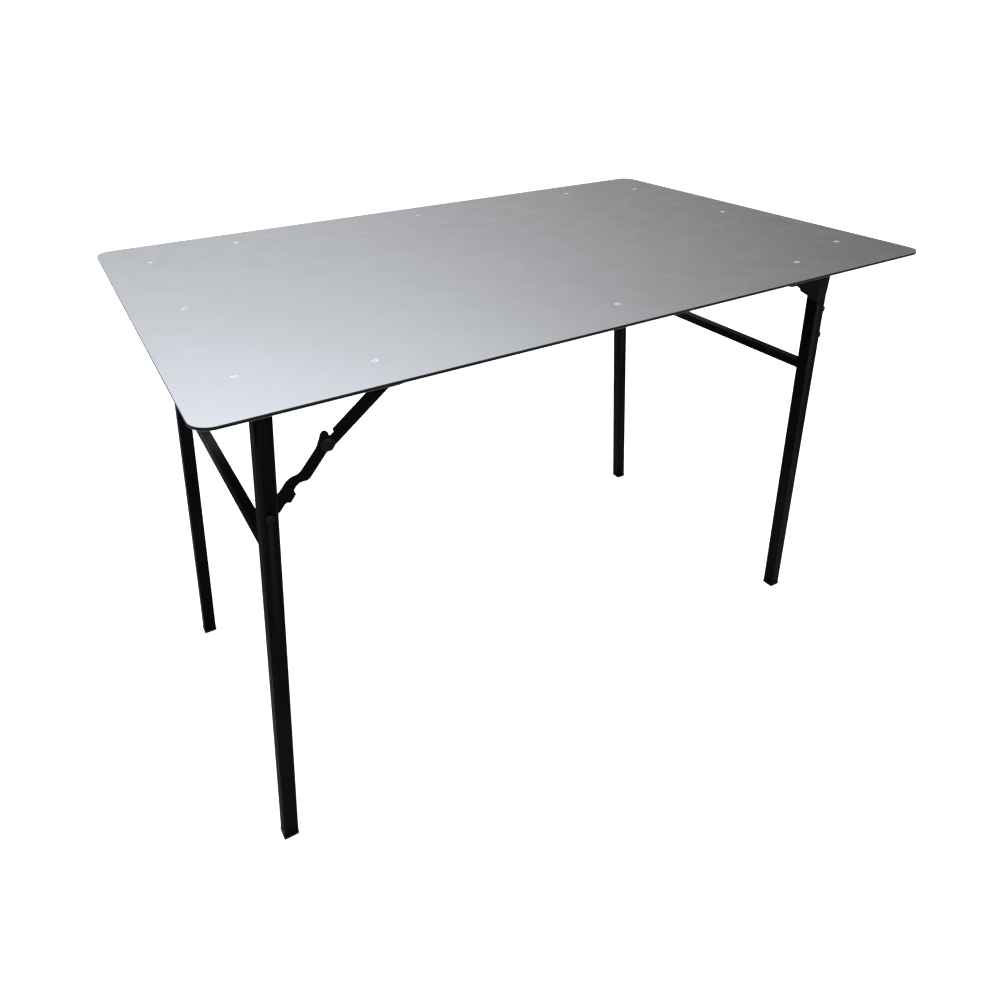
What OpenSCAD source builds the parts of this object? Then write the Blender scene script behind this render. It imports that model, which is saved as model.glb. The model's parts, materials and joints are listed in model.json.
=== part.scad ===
// Folding table: a thin composite top screwed to a steel sub-frame, carried by
// two identical folding leg frames.  The second frame is the first one turned
// half a turn about the vertical, so the frames nest side by side when folded.
// Origin: on the floor under the middle of the top.  +X along the length.

/* [Table top] */
// Overall height of the table
table_h = 750; // [720:1:780]
// Length of the top
top_l = 1128; // [1116:1:1160]
// Width of the top
top_w = 716; // [700:1:750]
// Corner radius of the top
corner_r = 25; // [15:1:40]
// Thickness of the black plastic core
core_t = 3.4; // [2.6:0.1:5]
// Thickness of each grey metal skin
skin_t = 0.4; // [0.3:0.1:0.6]

/* [Top screws] */
// Distance of the end screws from the middle, along the length
screw_end_x = 495.5; // [495:0.5:500]
// Distance of the end screws from the middle, across the width
screw_end_y = 251; // [200:1:262]
// Distance of the side screws from the middle, along the length
screw_side_x = 348; // [200:1:365]
// Distance of the side screws from the middle, across the width
screw_side_y = 294; // [293:1:298]
// Head diameter of a countersunk top screw
screw_head_d = 9; // [8:0.5:10]

/* [Sub-frame] */
// Width of a rail
rail_w = 20; // [20:1:22]
// Height of a rail
rail_h = 25; // [22:1:26]
// Wall of the rails
rail_wall = 1.5; // [1.2:0.1:2]

/* [Legs] */
// Side of the square leg tube
tube = 22; // [20:0.5:22]
// Wall of the leg tube
tube_wall = 1.5; // [1.2:0.1:2]
// Outward lean of the legs, in degrees
splay = 5.4; // [5:0.1:6]
// Distance of a foot from the middle, along the length
foot_x = 546; // [540:1:550]
// Distance of the braced leg from the middle, across the width
braced_y = 269; // [268.5:0.5:269]
// Distance of the plain leg from the middle, across the width
plain_y = 245; // [240:0.5:245]
// Depth of the fold axis below the top surface
fold_depth = 23.5; // [23.5:0.5:24.5]
// Offset of the fold axis from the middle of the tube, towards the middle of the table
pin_in = 3.5; // [3:0.5:3.5]
// Side of the square crossbar
bar = 15; // [12:1:16]
// Depth of the crossbar below the top surface
bar_depth = 223.5; // [218:0.5:230]

/* [Brace] */
// Width of the upper link
upper_w = 18; // [16:1:20]
// Thickness of the links
link_t = 3; // [2.5:0.1:3]
// Distance of the upper brace pivot from the middle, along the length
brace_a_x = 310.9; // [309:0.1:312]
// Depth of the upper brace pivot below the top surface
brace_a_d = 43.4; // [42:0.1:45]
// Distance of the knee from the middle, along the length
knee_x = 403.8; // [403:0.1:405]
// Depth of the knee below the top surface
knee_d = 111.9; // [111:0.1:113]
// Depth of the brace pivot on the leg below the top surface
brace_b_d = 175.5; // [175:0.5:176]

/* [Hidden] */
$fn = 48;
H = table_h;
under = H - core_t - 2*skin_t;           // underside of the top
rail_z0 = under - rail_h;                // underside of the rails
rail_y = screw_side_y;                   // centre line of the long rails
rail_x = screw_end_x + 4.5;               // centre line of the end rails
tsp = tan(splay);
function leg_x(z) = -(foot_x - tsp*z);   // centre line of the legs of frame a
pz = H - fold_depth;
px = leg_x(pz) + pin_in;
bz = H - brace_b_d;
bx = leg_x(bz);
ax = -brace_a_x;  az = H - brace_a_d;
kx = -knee_x;     kz = H - knee_d;
pin_r = 4;
run = 0.05;                              // running clearance of a bore
hole_r = 1.75;
in_face = -braced_y + tube/2;            // inner face of the braced leg
low_y0 = in_face + 1.8;                  // lower link
up_y0 = low_y0 + link_t + 0.3;           // upper link
lug_y0 = up_y0 + link_t + 0.4;           // lug that carries the upper link
SCREWS = concat(
  [for (sx = [-1, 1], sy = [-1, 0, 1]) [sx*screw_end_x, sy*screw_end_y]],
  [for (sx = [-1, 0, 1], sy = [-1, 1]) [sx*screw_side_x, sy*screw_side_y]]);

// ---- helpers -------------------------------------------------------------
module rsq(w, d, r) {                    // rectangle with true round corners
  square([w - 2*r, d], center = true);
  square([w, d - 2*r], center = true);
  for (x = [-1, 1], y = [-1, 1]) translate([x*(w/2 - r), y*(d/2 - r)]) circle(r, $fn = 24);
}
module box_tube(w, d, l, wall, r) {      // along +Z from 0
  linear_extrude(l) difference() {
    rsq(w, d, r);
    rsq(w - 2*wall, d - 2*wall, max(0.4, r - wall));
  }
}
// a frame b piece is the frame a piece turned half a turn
module side(b) { if (b) rotate([0, 0, 180]) children(); else children(); }
// leg coordinates: origin on the middle of the tube beside the fold axis, -Z runs down the leg
module on_leg(y) { translate([leg_x(pz), y, pz]) rotate([0, splay, 0]) children(); }
// a round bar across the table from y0 to y1
module ybar(x, z, y0, y1, r) { translate([x, y0, z]) rotate([-90, 0, 0]) cylinder(r = r, h = y1 - y0); }
// a low domed head whose flat side is at y0; dir -1 faces the front
module yhead(x, z, y0, r, h, dir) {
  translate([x, y0, z]) rotate([dir > 0 ? -90 : 90, 0, 0]) rotate_extrude() polygon([
    [0, 0], [r, 0], [r, 0.35*h], [0.93*r, 0.62*h], [0.75*r, 0.85*h], [0.45*r, 0.97*h], [0, h]]);
}
// a plate in the XZ plane from y0, outline given as [x, depth below the top]
module plate(y0, t, pts) {
  translate([0, y0 + t, 0]) rotate([90, 0, 0]) linear_extrude(t) polygon([for (p = pts) [p[0], H - p[1]]]);
}
leg_len = pz / cos(splay);               // fold axis to the floor along the leg
drop = function(d) (pz - (H - d)) / cos(splay);  // depth to distance down the leg

// ---- top -----------------------------------------------------------------
module outline(dl) { rsq(top_l - 2*dl, top_w - 2*dl, corner_r - dl); }
module screw_holes(z, h, r1, r2) {
  for (s = SCREWS) translate([s[0], s[1], z]) cylinder(r1 = r1, r2 = r2, h = h, $fn = 24);
}
head_r = screw_head_d/2;
module top_skin() color([0.66, 0.67, 0.7]) translate([0, 0, H - skin_t]) difference() {
  linear_extrude(skin_t) outline(0);
  screw_holes(-0.5, skin_t + 1, head_r + 0.1, head_r + 0.1);
}
module panel_core() color([0.06, 0.06, 0.065]) difference() {
  translate([0, 0, under + skin_t]) linear_extrude(core_t) outline(0);
  screw_holes(under, core_t + 2*skin_t, hole_r + 0.3, hole_r + 0.3);
  screw_holes(H - 0.3 - (head_r - hole_r), head_r - hole_r + 0.3, hole_r, head_r + 0.3);
}
module bottom_skin() color([0.5, 0.51, 0.53]) translate([0, 0, under]) difference() {
  linear_extrude(skin_t) outline(0);
  screw_holes(-0.5, skin_t + 1, hole_r + 0.3, hole_r + 0.3);
}
module panel_screws() color([0.8, 0.8, 0.82]) for (s = SCREWS) translate([s[0], s[1], 0])
  difference() {
    union() {
      translate([0, 0, H - 0.25 - (head_r - hole_r)]) cylinder(r1 = hole_r, r2 = head_r, h = head_r - hole_r);
      translate([0, 0, under - 12]) cylinder(r = hole_r, h = 12 + core_t);
    }
    // cross recess
    translate([0, 0, H - 1.5]) for (a = [0, 90]) rotate([0, 0, a]) translate([-2.3, -0.45, 0]) cube([4.6, 0.9, 3]);
  }
module rivet_nuts() color([0.75, 0.75, 0.72]) for (s = SCREWS) translate([s[0], s[1], under - 13.2])
  difference() {
    cylinder(r = 3.4, h = 13.2 - rail_wall);
    translate([0, 0, -0.5]) cylinder(r = hole_r, h = 15);
  }

// ---- sub-frame -------------------------------------------------------------
rail_len = 2*rail_x + rail_w;
module nut_holes() { for (s = SCREWS) translate([s[0], s[1], under - 5]) cylinder(r = hole_r, h = 6); }
module long_rail(sy) color([0.12, 0.12, 0.125]) difference() {
  translate([-rail_len/2, sy*rail_y, under - rail_h/2]) rotate([0, 90, 0]) box_tube(rail_h, rail_w, rail_len, rail_wall, 1.5);
  nut_holes();
}
module end_rail(sx) color([0.12, 0.12, 0.125]) difference() {
  translate([sx*rail_x, rail_y - rail_w/2, under - rail_h/2]) rotate([90, 0, 0]) box_tube(rail_w, rail_h, 2*rail_y - rail_w, rail_wall, 1.5);
  nut_holes();
}
module front_rail() long_rail(-1);
module back_rail() long_rail(1);
module left_end_rail() end_rail(-1);
module right_end_rail() end_rail(1);
module rail_end_caps() color([0.05, 0.05, 0.05]) for (sx = [-1, 1], sy = [-1, 1])
  translate([sx*rail_len/2, sy*rail_y, under - rail_h/2]) rotate([0, sx*90, 0]) union() {
    linear_extrude(2) rsq(rail_h, rail_w, 2);
    translate([0, 0, -12]) linear_extrude(12.1) square([rail_h - 2*rail_wall - 0.3, rail_w - 2*rail_wall - 0.3], center = true);
  }

// ---- hinge brackets ---------------------------------------------------------
rail_in = rail_y - rail_w/2;             // inner face of the long rails
web_t = 2.5;
top_d = H - under;                       // depth of the underside
module pin_hole(x, z, y0, y1, r) ybar(x, z, y0 - 1, y1 + 1, r);
// bracket of the braced leg: two short cheeks and a web under the top
bo = -rail_in;                           // outer cheek on the rail
bi = in_face + 0.5;                      // inner cheek
module cheek_s(y0, t) {
  difference() {
    union() {
      translate([0, y0 + t, 0]) rotate([90, 0, 0]) linear_extrude(t) union() {
        translate([px - 13, pz]) square([26, under - pz]);
        translate([px, pz]) circle(13);
      }
    }
    pin_hole(px, pz, y0, y0 + t, pin_r);
  }
}
module braced_hinge() color([0.1, 0.1, 0.105]) {
  cheek_s(bo, 3);
  cheek_s(bi, web_t);
  translate([px - 13, bo + 3, under - web_t]) cube([26, bi - bo - 3, web_t]);
  // spacer boss pressed out of the outer cheek
  difference() {
    ybar(px, pz, bo + 3, -braced_y - tube/2 - 0.3, 8);
    pin_hole(px, pz, bo, -braced_y, pin_r);
  }
}
// bracket of the plain leg: long outer gusset with a nose, short inner cheek
po = plain_y + tube/2 + 0.5;
pi_ = plain_y - tube/2 - 0.5 - web_t;
module plain_hinge() color([0.1, 0.1, 0.105]) {
  difference() {
    plate(po, web_t, [[-387, top_d], [-386.5, 50], [-387.6, 53.2], [-390, 55.6], [-393.4, 57.2], [-397, 57.8], [-408.2, 58.2], [-411.5, 59.6],
      [-420.4, 65.6], [-421.4, 67], [-421.6, 69], [-440, 79.4], [-454, 88], [-462, 93.4], [-469, 96.8], [-475.5, 97.8], [-481.5, 96.4],
      [-486, 93], [-488.6, 88], [-489.4, 82], [-489.4, top_d]]);
    pin_hole(px, pz, po, po + web_t, pin_r);
  }
  yhead(-467, H - 82, po + web_t, 6, 1.2, 1);      // pressed detent
  difference() {
    plate(pi_, web_t, [[-440, top_d], [-440, 28], [-462, 37.5], [-468, 38.6], [-478, 38.6], [-484, 36.6], [-488, 32.6], [-489.4, 27], [-489.4, top_d]]);
    pin_hole(px, pz, pi_, pi_ + web_t, pin_r);
  }
  translate([-489.4, pi_ + web_t, under - web_t]) cube([49.4, po - pi_ - web_t, web_t]);
  translate([-489.4, po + web_t, under - web_t]) cube([102.4, rail_in - po - web_t, web_t]);
  translate([-489.4, rail_in - 3, under - 21]) cube([102.4, 3, 21 - web_t]);
}
// lug bracket of the brace: flange on the rail, web under the top, lug plate
module brace_lug() color([0.16, 0.16, 0.165]) {
  difference() {
    plate(lug_y0, link_t, [[-336, top_d], [-336, 50], [-334.8, 55], [-331.4, 59], [-325.5, 61.2], [-319, 61.4], [-301, 61], [-295, 60.2],
      [-291.3, 58.4], [-289.2, 55], [-288.5, 50], [-288.5, top_d]]);
    pin_hole(ax, az, lug_y0, lug_y0 + link_t, pin_r);
  }
  translate([-336, -rail_in, under - web_t]) cube([47.5, lug_y0 + rail_in, web_t]);
  translate([-336, -rail_in, under - 14.5]) cube([47.5, 3, 14.5 - web_t]);
}
module hinge_pins() color([0.3, 0.3, 0.31]) {
  ybar(px, pz, bo + 0.2, bi + web_t, pin_r);
  yhead(px, pz, bi + web_t, 6, 2, 1);
  ybar(px, pz, pi_, po + web_t, pin_r);
  yhead(px, pz, pi_, 6, 2, -1);
  yhead(px, pz, po + web_t, 6, 2, 1);
}
module lug_pin() color([0.3, 0.3, 0.31]) {
  ybar(ax, az, up_y0 + 0.1, lug_y0 + link_t, pin_r);
  yhead(ax, az, lug_y0 + link_t, 6.5, 2.4, 1);
}
// pan-head screws that hold the brackets on the long rails
module bracket_screws() color([0.3, 0.3, 0.31]) {
  for (x = [-400, -460]) yhead(x, under - 13.5, rail_in - 3, 4, 2.2, -1);
  for (x = [-327, -298]) yhead(x, under - 6.8, -rail_in + 3, 4, 2.2, 1);
}

// ---- leg frame ---------------------------------------------------------------
top_over = 7;                            // tube above the fold axis
BOLTS = [120, 168];                      // depths of the bolts that hold the shank
module leg(y, bore_b, bolts) difference() {
  on_leg(y) translate([0, 0, -leg_len + 4.2]) box_tube(tube, tube, leg_len - 4.2 + top_over, tube_wall, 2);
  pin_hole(px, pz, y - tube/2, y + tube/2, pin_r + run);
  if (bore_b) pin_hole(bx, bz, y - tube/2, y + tube/2, pin_r);
  if (bolts) for (d = BOLTS) on_leg(y) translate([-tube/2 - 1, 0, -drop(d)]) rotate([0, 90, 0]) cylinder(r = 3, h = tube_wall + 2);
}
module braced_leg() color([0.1, 0.1, 0.105]) leg(-braced_y, true, false);
module plain_leg() color([0.1, 0.1, 0.105]) leg(plain_y, false, true);
module crossbar() color([0.1, 0.1, 0.105]) on_leg(0)
  translate([0, plain_y - tube/2, -drop(bar_depth)]) rotate([90, 0, 0]) box_tube(bar, bar, braced_y + plain_y - tube, 1.2, 1.2);
module hinge_shank() color([0.35, 0.35, 0.36]) difference() {
  on_leg(plain_y) translate([0, 0, -155]) linear_extrude(155 + top_over - 1) square(tube - 2*tube_wall - 0.3, center = true);
  pin_hole(px, pz, plain_y - 10, plain_y + 10, pin_r + run);
  for (d = BOLTS) on_leg(plain_y) translate([-tube/2, 0, -drop(d)]) rotate([0, 90, 0]) cylinder(r = 3, h = 14);
}
module shank_bolts() color([0.14, 0.14, 0.145]) for (d = BOLTS) on_leg(plain_y) translate([-tube/2, 0, -drop(d)]) rotate([0, 90, 0]) {
  translate([0, 0, -10.6]) cylinder(r = 3, h = 23.6);                  // bolt with its end standing out
  translate([0, 0, -1.2]) cylinder(r = 8, h = 1.2);                   // washer
  translate([0, 0, -8.4]) cylinder(r = 7.5, h = 7.2, $fn = 6);        // nut
}
module foot_caps() color([0.04, 0.04, 0.042]) for (y = [-braced_y, plain_y]) difference() {
  on_leg(y) translate([0, 0, -leg_len]) union() {
    translate([0, 0, -2]) linear_extrude(2 + 4.2) rsq(tube + 1.2, tube + 1.2, 2.4);
    translate([0, 0, 4]) linear_extrude(18) square(tube - 2*tube_wall - 0.3, center = true);
  }
  translate([leg_x(0) - 40, y - 30, -20]) cube([80, 60, 20]);
}
module leg_rivet() color([0.3, 0.3, 0.31]) {
  ybar(bx, bz, -braced_y - tube/2, low_y0 + link_t - 0.1, pin_r);
  yhead(bx, bz, -braced_y - tube/2, 6, 1.8, -1);
  ybar(bx, bz, in_face, low_y0 - 0.2, 7.5);          // spacing washer
}

// ---- brace ---------------------------------------------------------------------
brace_l = norm([ax - kx, az - kz]);      // upper link between its pivots
knee_r = 10.9;                           // round end of the upper link
module upper_link() color([0.11, 0.11, 0.115]) difference() {
  // bar with a stepped edge and a round end at the knee
  translate([0, up_y0 + link_t, 0]) rotate([90, 0, 0]) linear_extrude(link_t)
    translate([kx, kz]) rotate(atan2(az - kz, ax - kx)) {
      circle(knee_r);
      polygon([[0, -knee_r], [brace_l, -upper_w/2], [brace_l, upper_w/2], [18.2, 7.2], [17.4, 6.4], [16.4, 3.2], [0, 3.2]]);
      translate([brace_l, 0]) circle(upper_w/2);
    }
  pin_hole(ax, az, up_y0, up_y0 + link_t, pin_r + run);
  pin_hole(kx, kz, up_y0, up_y0 + link_t, pin_r);
}
module knee_tail() color([0.3, 0.3, 0.31]) {
  ybar(kx, kz, up_y0 + 0.1, up_y0 + link_t, pin_r);
  yhead(kx, kz, up_y0 + link_t, 6.5, 2.2, 1);
}
// outline of the cranked lower link, as [x, depth]
LOW = [[-400, 97.4], [-403.1, 93.6], [-405.4, 92.6], [-409, 93.6], [-411.1, 96.6], [-413, 102.5], [-416.1, 109.6],
  [-418.7, 113.7], [-421.8, 117.5], [-438.8, 136.8], [-442.4, 140.3], [-446.5, 142], [-451.7, 142.9], [-456.5, 144.6],
  [-460.9, 148], [-465.4, 153.3], [-469.5, 158.1], [-475.7, 163], [-483.1, 166.1], [-491.6, 166], [-498.3, 168.8],
  [-501.1, 175.5], [-498.3, 182.2], [-491.6, 185], [-484.6, 187], [-478.6, 188], [-474.2, 187], [-471.1, 183.8],
  [-466, 177.6], [-463, 175.8], [-459.4, 177.3], [-458.1, 177.1], [-450.7, 167.8], [-450.5, 166.6], [-452.3, 161.6],
  [-448.9, 156.8], [-444.7, 153.7], [-439.7, 152.9], [-434.5, 153.2], [-430.7, 151.6], [-405.4, 122.1],
  [-398.2, 121.2], [-394.6, 117], [-393.5, 112], [-395.2, 107.8], [-397.8, 105.3], [-401.4, 100.2]];
module lower_link() color([0.11, 0.11, 0.115]) difference() {
  plate(low_y0, link_t, LOW);
  pin_hole(bx, bz, low_y0, low_y0 + link_t, pin_r + run);
  pin_hole(kx, kz, low_y0, low_y0 + link_t, pin_r);
}
// knee rivet with a wide flat head in front of the lower link
module knee_rivet() color([0.2, 0.2, 0.205]) {
  ybar(kx, kz, low_y0, low_y0 + link_t - 0.1, pin_r);
  translate([kx, low_y0, kz]) rotate([90, 0, 0])
    rotate_extrude($fn = 64) polygon([[0, 0], [9.2, 0], [9.2, 0.8], [8.8, 1.2], [0, 1.2]]);
}

top_skin();
panel_core();
bottom_skin();
panel_screws();
rivet_nuts();
front_rail();
back_rail();
left_end_rail();
right_end_rail();
rail_end_caps();
side(false) braced_hinge();  // braced_hinge_a
side(false) plain_hinge();  // plain_hinge_a
side(false) brace_lug();  // brace_lug_a
side(false) hinge_pins();  // hinge_pins_a
side(false) bracket_screws();  // bracket_screws_a
side(false) lug_pin();  // lug_pin_a
side(true) braced_hinge();  // braced_hinge_b
side(true) plain_hinge();  // plain_hinge_b
side(true) brace_lug();  // brace_lug_b
side(true) hinge_pins();  // hinge_pins_b
side(true) bracket_screws();  // bracket_screws_b
side(true) lug_pin();  // lug_pin_b
side(false) braced_leg();  // braced_leg_a
side(false) plain_leg();  // plain_leg_a
side(false) crossbar();  // crossbar_a
side(false) hinge_shank();  // hinge_shank_a
side(false) shank_bolts();  // shank_bolts_a
side(false) foot_caps();  // foot_caps_a
side(false) leg_rivet();  // leg_rivet_a
side(true) braced_leg();  // braced_leg_b
side(true) plain_leg();  // plain_leg_b
side(true) crossbar();  // crossbar_b
side(true) hinge_shank();  // hinge_shank_b
side(true) shank_bolts();  // shank_bolts_b
side(true) foot_caps();  // foot_caps_b
side(true) leg_rivet();  // leg_rivet_b
side(false) upper_link();  // upper_link_a
side(false) knee_tail();  // knee_tail_a
side(false) lower_link();  // lower_link_a
side(false) knee_rivet();  // knee_rivet_a
side(true) upper_link();  // upper_link_b
side(true) knee_tail();  // knee_tail_b
side(true) lower_link();  // lower_link_b
side(true) knee_rivet();  // knee_rivet_b
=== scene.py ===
import bpy, bmesh, json, math
from mathutils import Vector, Matrix

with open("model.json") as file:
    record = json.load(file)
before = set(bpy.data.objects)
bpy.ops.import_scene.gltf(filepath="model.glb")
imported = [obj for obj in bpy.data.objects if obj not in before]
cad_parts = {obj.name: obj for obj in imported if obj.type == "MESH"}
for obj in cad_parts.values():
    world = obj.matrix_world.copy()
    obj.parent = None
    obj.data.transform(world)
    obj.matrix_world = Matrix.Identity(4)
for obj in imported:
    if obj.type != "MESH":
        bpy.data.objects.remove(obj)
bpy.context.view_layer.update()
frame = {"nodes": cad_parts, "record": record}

NODES = frame["nodes"]
scene = bpy.context.scene
MM = 0.001

# ------------------------------------------------------------------ materials
def new_mat(name):
    m = bpy.data.materials.new(name)
    m.use_nodes = True
    nt = m.node_tree
    for n in list(nt.nodes):
        nt.nodes.remove(n)
    out = nt.nodes.new("ShaderNodeOutputMaterial")
    b = nt.nodes.new("ShaderNodeBsdfPrincipled")
    nt.links.new(b.outputs[0], out.inputs[0])
    return m, nt, b


def coords(nt):
    return nt.nodes.new("ShaderNodeTexCoord").outputs["Object"]


def noise(nt, vec, scale, detail=2.0, rough=0.5):
    n = nt.nodes.new("ShaderNodeTexNoise")
    n.inputs["Scale"].default_value = scale
    n.inputs["Detail"].default_value = detail
    n.inputs["Roughness"].default_value = rough
    nt.links.new(vec, n.inputs["Vector"])
    return n.outputs["Fac"]


def ramp(nt, fac, stops, mode="LINEAR"):
    r = nt.nodes.new("ShaderNodeValToRGB")
    r.color_ramp.interpolation = mode
    e = r.color_ramp.elements
    while len(e) > 1:
        e.remove(e[-1])
    e[0].position, e[0].color = stops[0][0], (*stops[0][1], 1)
    for p, c in stops[1:]:
        k = e.new(p)
        k.color = (*c, 1)
    nt.links.new(fac, r.inputs["Fac"])
    return r.outputs["Color"]


def span(nt, fac, lo, hi, a=0.0, b=1.0):
    r = nt.nodes.new("ShaderNodeMapRange")
    r.inputs["From Min"].default_value = a
    r.inputs["From Max"].default_value = b
    r.inputs["To Min"].default_value = lo
    r.inputs["To Max"].default_value = hi
    nt.links.new(fac, r.inputs["Value"])
    return r.outputs["Result"]


def bump(nt, height, dist, strength=1.0, normal=None):
    b = nt.nodes.new("ShaderNodeBump")
    b.inputs["Distance"].default_value = dist
    b.inputs["Strength"].default_value = strength
    nt.links.new(height, b.inputs["Height"])
    if normal is not None:
        nt.links.new(normal, b.inputs["Normal"])
    return b.outputs["Normal"]


def mapping(nt, vec, scale):
    m = nt.nodes.new("ShaderNodeMapping")
    m.inputs["Scale"].default_value = scale
    nt.links.new(vec, m.inputs["Vector"])
    return m.outputs["Vector"]


def mix_col(nt, fac, a, b):
    m = nt.nodes.new("ShaderNodeMix")
    m.data_type = "RGBA"
    nt.links.new(fac, m.inputs["Factor"])
    for s, v in (("A", a), ("B", b)):
        sock = [i for i in m.inputs if i.name == s and i.type == "RGBA"][0]
        if isinstance(v, tuple):
            sock.default_value = (*v, 1)
        else:
            nt.links.new(v, sock)
    return [o for o in m.outputs if o.type == "RGBA"][0]


def grey(v):
    return (v, v, v * 1.03)


def powder(name, base, rough, grain=900.0, depth=0.00006, wear=0.0):
    """Black powder coat: fine orange peel, faint cloudiness, optional rubbed spots."""
    m, nt, b = new_mat(name)
    v = coords(nt)
    cloud = noise(nt, v, 9.0, 3.0)
    fine = noise(nt, v, grain, 2.0)
    col = ramp(nt, cloud, [(0.3, tuple(c * 0.85 for c in base)), (0.7, tuple(c * 1.2 for c in base))])
    if wear:
        spots = span(nt, noise(nt, v, 160.0, 5.0, 0.7), 0.0, wear, 0.60, 0.74)
        col = mix_col(nt, spots, col, tuple(min(1, c * 5 + 0.03) for c in base))
    nt.links.new(col, b.inputs["Base Color"])
    nt.links.new(span(nt, noise(nt, v, 45.0, 3.0), rough - 0.05, rough + 0.06, 0.3, 0.7), b.inputs["Roughness"])
    nt.links.new(bump(nt, fine, depth), b.inputs["Normal"])
    b.inputs["Specular IOR Level"].default_value = 0.11
    return m


def metal(name, base, rough, metallic=1.0, grain=400.0):
    m, nt, b = new_mat(name)
    v = coords(nt)
    n1 = noise(nt, v, grain, 3.0)
    nt.links.new(ramp(nt, n1, [(0.3, tuple(c * 0.85 for c in base)), (0.7, base)]), b.inputs["Base Color"])
    nt.links.new(span(nt, n1, rough - 0.06, rough + 0.08, 0.3, 0.7), b.inputs["Roughness"])
    b.inputs["Metallic"].default_value = metallic
    nt.links.new(bump(nt, n1, 0.00002), b.inputs["Normal"])
    return m


def lacquer(name, base, rough, metallic):
    """Satin metallic lacquer of the composite sheet: fine flake, slight rolling waviness."""
    m, nt, b = new_mat(name)
    v = coords(nt)
    flake = nt.nodes.new("ShaderNodeTexVoronoi")
    flake.inputs["Scale"].default_value = 2600.0
    nt.links.new(v, flake.inputs["Vector"])
    fl = flake.outputs["Distance"]
    cloud = noise(nt, v, 3.0, 2.0)
    c1 = ramp(nt, cloud, [(0.3, tuple(c * 0.975 for c in base)), (0.7, tuple(c * 1.02 for c in base))])
    fleck = span(nt, fl, 0.05, 0.0, 0.0, 0.5)
    col = mix_col(nt, fleck, c1, tuple(min(1, c * 1.25) for c in base))
    nt.links.new(col, b.inputs["Base Color"])
    nt.links.new(span(nt, noise(nt, v, 24.0, 4.0, 0.6), rough - 0.015, rough + 0.02, 0.3, 0.7), b.inputs["Roughness"])
    b.inputs["Metallic"].default_value = metallic
    b.inputs["Specular IOR Level"].default_value = 0.5
    wave = noise(nt, mapping(nt, v, (0.5, 1.2, 1.0)), 5.0, 1.0)
    nt.links.new(bump(nt, wave, 0.00010, 0.4), b.inputs["Normal"])
    return m


def plastic(name, base, rough, grain, depth):
    m, nt, b = new_mat(name)
    v = coords(nt)
    n1 = noise(nt, v, grain, 2.0)
    nt.links.new(ramp(nt, noise(nt, v, 30.0, 2.0), [(0.3, tuple(c * 0.85 for c in base)), (0.7, tuple(c * 1.2 for c in base))]), b.inputs["Base Color"])
    nt.links.new(span(nt, n1, rough - 0.04, rough + 0.06, 0.3, 0.7), b.inputs["Roughness"])
    nt.links.new(bump(nt, n1, depth), b.inputs["Normal"])
    return m


M = {
    "grey_skin": lacquer("grey_skin", (0.72, 0.72, 0.725), 0.26, 1.0),
    "back_skin": lacquer("back_skin", (0.30, 0.305, 0.32), 0.48, 0.3),
    "black_core": plastic("black_core", (0.006, 0.006, 0.0065), 0.42, 1200.0, 0.00003),
    "zinc_screws": metal("zinc_screws", (0.93, 0.94, 0.96), 0.42),
    "black_steel": powder("black_steel", (0.0040, 0.0040, 0.0044), 0.42),
    "bracket_steel": powder("bracket_steel", (0.0040, 0.0040, 0.0043), 0.42),
    "link_steel": powder("link_steel", (0.0040, 0.0040, 0.0043), 0.40, wear=0.20),
    "rivet_steel": metal("rivet_steel", (0.012, 0.012, 0.013), 0.34, 0.4, 500.0),
    "bolt_steel": metal("bolt_steel", (0.010, 0.010, 0.011), 0.38, 0.4, 500.0),
    "cap_plastic": plastic("cap_plastic", (0.0045, 0.0045, 0.005), 0.5, 1500.0, 0.00005),
}
slot_of = {s["node"]: s["material_slot"] for s in frame["record"]["subparts"]}
for n, o in NODES.items():
    o.data.materials.clear()
    o.data.materials.append(M[slot_of[n]])
# the two brace lugs get a greyer base colour than the other black steel: painted light, a lit copy of the same powder
# coat where the lugs catch light under the table edge
painted_light_lug = powder("lug_steel_painted_light", (0.030, 0.030, 0.032), 0.45, wear=0.15)
for n in ("brace_lug_a", "brace_lug_b"):
    NODES[n].data.materials.clear()
    NODES[n].data.materials.append(painted_light_lug)


def soften(o, width, segments=2, angle=35):
    b = o.modifiers.new("edges", "BEVEL")
    b.width = width
    b.segments = segments
    b.limit_method = "ANGLE"
    b.angle_limit = math.radians(angle)
    b.use_clamp_overlap = True
    b.harden_normals = False


def weld_first(o, d=0.00001):
    w = o.modifiers.new("weld", "WELD")
    w.merge_threshold = d


FLAT = {"top_skin", "bottom_skin"}
WIDTH = {"panel_core": 0.0002, "top_skin": 0.00012, "bottom_skin": 0.00012, "upper_link": 0.0005, "lower_link": 0.0005,
         "plain_hinge": 0.0005, "braced_hinge": 0.0005, "brace_lug": 0.0005, "foot_caps": 0.0007, "rail_end_caps": 0.0008,
         "shank_bolts": 0.0004, "panel_screws": 0.0001}
for n, o in NODES.items():
    k = n[:-2] if n[-2:] in ("_a", "_b") else n
    for p in o.data.polygons:
        p.use_smooth = k not in FLAT
    weld_first(o)
    if k in WIDTH:
        soften(o, WIDTH[k], 1 if k in FLAT else 2)
    if k not in FLAT:
        o.data.set_sharp_from_angle(angle=math.radians(32))

# ------------------------------------------------------------------ floor, light, camera
def plane(name, size, z, centre=(0, 0)):
    me = bpy.data.meshes.new(name)
    s = size / 2
    me.from_pydata([(centre[0] - s, centre[1] - s, z), (centre[0] + s, centre[1] - s, z), (centre[0] + s, centre[1] + s, z), (centre[0] - s, centre[1] + s, z)], [], [(0, 1, 2, 3)])
    o = bpy.data.objects.new(name, me)
    scene.collection.objects.link(o)
    return o


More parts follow.
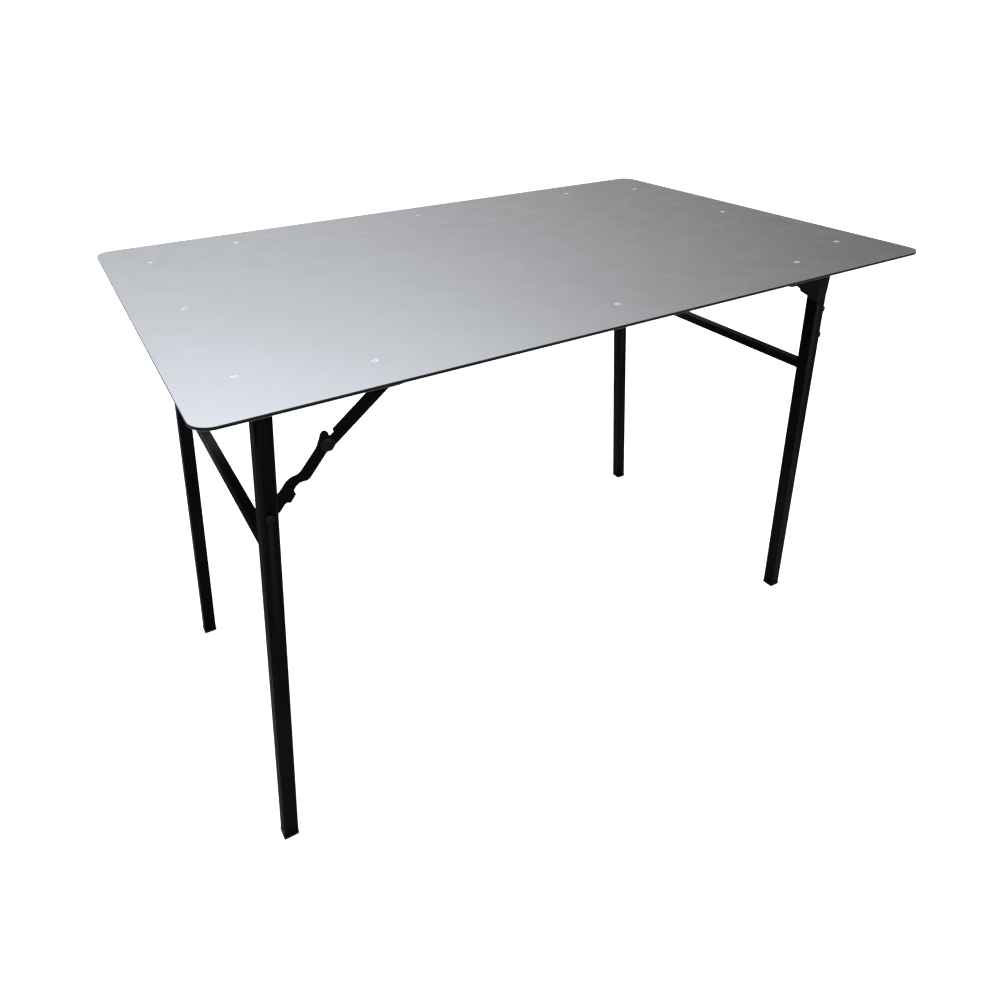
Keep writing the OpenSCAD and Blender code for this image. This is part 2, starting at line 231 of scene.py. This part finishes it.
floor = plane("studio_floor", 60, -0.0002)
m, nt, b = new_mat("floor_pale")
v = coords(nt)
tint = ramp(nt, noise(nt, v, 2.0, 2.0), [(0.3, (0.90, 0.90, 0.90)), (0.7, (0.93, 0.93, 0.93))])
dim = ramp(nt, noise(nt, v, 2.0, 2.0), [(0.3, (0.22, 0.22, 0.22)), (0.7, (0.25, 0.25, 0.25))])
nt.links.new(mix_col(nt, nt.nodes.new("ShaderNodeLightPath").outputs["Is Camera Ray"], dim, tint), b.inputs["Base Color"])
nt.links.new(tint, b.inputs["Emission Color"])
b.inputs["Roughness"].default_value = 0.9
b.inputs["Specular IOR Level"].default_value = 0.0
seen = nt.nodes.new("ShaderNodeLightPath").outputs["Is Camera Ray"]
nt.links.new(span(nt, seen, 0.0, 1.05), b.inputs["Emission Strength"])
floor.data.materials.append(m)

w = bpy.data.worlds.new("studio")
scene.world = w
w.use_nodes = True
nt = w.node_tree
bg = nt.nodes["Background"]
out = [n for n in nt.nodes if n.type == "OUTPUT_WORLD"][0]


def math_node(op, x, y):
    m = nt.nodes.new("ShaderNodeMath")
    m.operation = op
    for i, v in enumerate((x, y)):
        if isinstance(v, (int, float)):
            m.inputs[i].default_value = v
        else:
            nt.links.new(v, m.inputs[i])
    return m.outputs[0]


def glow(direction, power, amount):
    """A soft glow in the surround that fades evenly away from one direction."""
    d = nt.nodes.new("ShaderNodeVectorMath")
    d.operation = "DOT_PRODUCT"
    nt.links.new(nt.nodes.new("ShaderNodeTexCoord").outputs["Generated"], d.inputs[0])
    d.inputs[1].default_value = Vector(direction).normalized()
    return math_node("MULTIPLY", math_node("POWER", math_node("MAXIMUM", d.outputs["Value"], 0.0), power), amount)


# the main glow is high behind the table; weaker ones light the other sides
surround = math_node("ADD", glow((0.0, 0.5, 0.866), 4.2, 2.35), 0.035)
for direction, power, amount in (((0.1, -0.75, 0.6), 4.0, 0.85), ((-0.85, -0.15, 0.5), 6.0, 0.7), ((0.8, -0.5, 0.4), 8.0, 0.7)):
    surround = math_node("ADD", surround, glow(direction, power, amount))
col = mix_col(nt, span(nt, surround, 0.0, 1.0, 0.25, 1.1), (1.0, 0.985, 0.975), (0.87, 0.925, 1.0))
nt.links.new(col, bg.inputs["Color"])
nt.links.new(surround, bg.inputs["Strength"])
white = nt.nodes.new("ShaderNodeBackground")
white.inputs["Color"].default_value = (1, 1, 1, 1)
white.inputs["Strength"].default_value = 1.05
pick = nt.nodes.new("ShaderNodeMixShader")
nt.links.new(nt.nodes.new("ShaderNodeLightPath").outputs["Is Camera Ray"], pick.inputs[0])
nt.links.new(bg.outputs[0], pick.inputs[1])
nt.links.new(white.outputs[0], pick.inputs[2])
nt.links.new(pick.outputs[0], out.inputs["Surface"])


def area(name, loc, target, size, power, color=(1, 1, 1), size_y=None):
    d = bpy.data.lights.new(name, "AREA")
    d.energy = power
    d.color = color
    d.shape = "RECTANGLE"
    d.size = size
    d.size_y = size_y or size
    o = bpy.data.objects.new(name, d)
    scene.collection.objects.link(o)
    o.location = loc
    o.rotation_mode = "QUATERNION"
    o.rotation_quaternion = (Vector(target) - Vector(loc)).to_track_quat("-Z", "Y")
    return o


area("strip_back_left", (-1.1, 3.0, 0.45), (-0.5, 0, 0.45), 0.9, 1.6, (0.97, 0.98, 1.0), 1.1)

scene.view_settings.view_transform = "Standard"
scene.view_settings.look = "None"
scene.view_settings.exposure = 0.0
scene.view_settings.gamma = 1.0

f, cx, cy = 754.50, 473.72, 451.95
yaw, pitch, roll = 0.5179, -0.5326, -0.0167
fwd = Vector((math.sin(yaw) * math.cos(pitch), math.cos(yaw) * math.cos(pitch), math.sin(pitch)))
right = fwd.cross(Vector((0, 0, 1))).normalized()
up = right.cross(fwd)
r = right * math.cos(roll) + up * math.sin(roll)
u = -right * math.sin(roll) + up * math.cos(roll)
cd = bpy.data.cameras.new("camera")
cd.sensor_width = 36.0
cd.lens = f / 1000 * 36.0
cd.shift_x = (500 - cx) / 1000
cd.shift_y = (cy - 500) / 1000
cd.clip_start, cd.clip_end = 0.05, 200
cam = bpy.data.objects.new("camera", cd)
scene.collection.objects.link(cam)
cam.matrix_world = Matrix(((r.x, u.x, -fwd.x, -0.64195), (r.y, u.y, -fwd.y, -1.03039), (r.z, u.z, -fwd.z, 1.09056), (0, 0, 0, 1)))
scene.camera = cam
